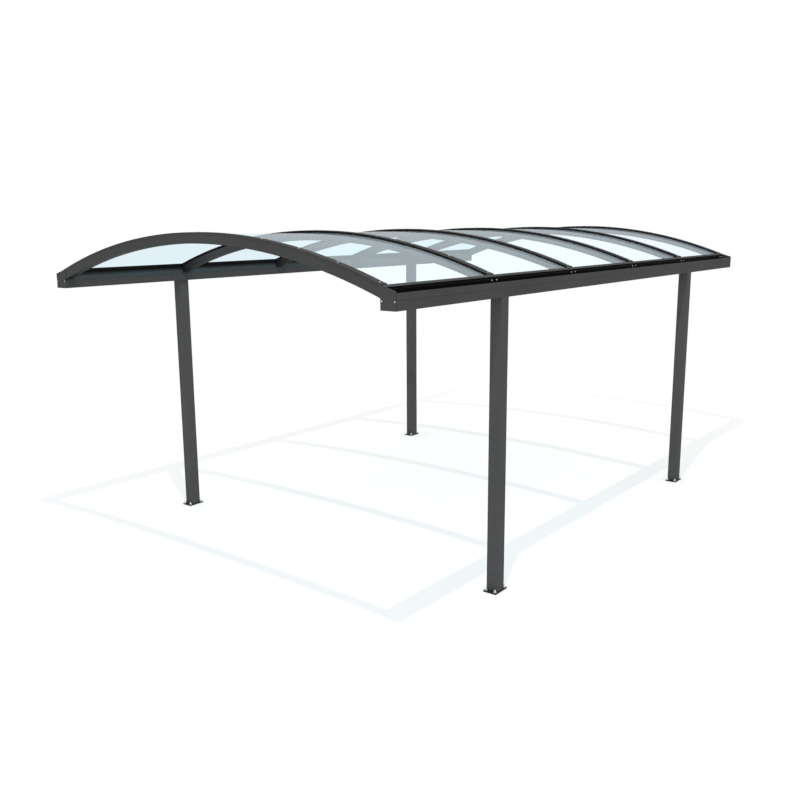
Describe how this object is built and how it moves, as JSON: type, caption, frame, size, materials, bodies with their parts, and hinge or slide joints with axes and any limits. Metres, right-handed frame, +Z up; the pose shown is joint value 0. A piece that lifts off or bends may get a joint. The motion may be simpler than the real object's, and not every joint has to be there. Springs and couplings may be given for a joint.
{
  "type": "arched carport",
  "caption": "Free-standing carport with square posts, box gutters, bent arches and a clear arched roof.",
  "frame": {"origin": "centre of the footprint, on the ground under the base plates", "axes": "+X to the right seen from the front, +Y along the length to the rear, +Z up"},
  "size_m": [3.616, 6.12, 2.6602],
  "materials": {
    "anthracite_frame": "satin powder coat",
    "black_base_plates": "matt black",
    "black_seals": "matt",
    "clear_panels": "clear, faint blue",
    "anthracite_clips": "satin"
  },
  "bodies": {
    "root": {"front_left_base_plate": "black_base_plates", "front_left_post": "anthracite_frame", "front_left_gutter_end_cap": "anthracite_frame", "front_right_base_plate": "black_base_plates", "front_right_post": "anthracite_frame", "front_right_gutter_end_cap": "anthracite_frame", "rear_left_base_plate": "black_base_plates", "rear_left_post": "anthracite_frame", "rear_left_gutter_end_cap": "anthracite_frame", "rear_right_base_plate": "black_base_plates", "rear_right_post": "anthracite_frame", "rear_right_gutter_end_cap": "anthracite_frame", "left_gutter": "anthracite_frame", "left_eave_trim": "anthracite_frame", "left_eave_seals": "black_seals", "left_cap_clips": "anthracite_clips", "right_gutter": "anthracite_frame", "right_eave_trim": "anthracite_frame", "right_eave_seals": "black_seals", "right_cap_clips": "anthracite_clips", "front_arch": "anthracite_frame", "front_glazing_cap": "anthracite_frame", "intermediate_1_arch": "anthracite_frame", "intermediate_1_glazing_cap": "anthracite_frame", "intermediate_2_arch": "anthracite_frame", "intermediate_2_glazing_cap": "anthracite_frame", "intermediate_3_arch": "anthracite_frame", "intermediate_3_glazing_cap": "anthracite_frame", "intermediate_4_arch": "anthracite_frame", "intermediate_4_glazing_cap": "anthracite_frame", "rear_arch": "anthracite_frame", "rear_glazing_cap": "anthracite_frame", "lower_glazing_seals": "black_seals", "upper_glazing_seals": "black_seals", "roof_panel_1": "clear_panels", "roof_panel_2": "clear_panels", "roof_panel_3": "clear_panels", "roof_panel_4": "clear_panels", "roof_panel_5": "clear_panels"}
  },
  "joints": []
}
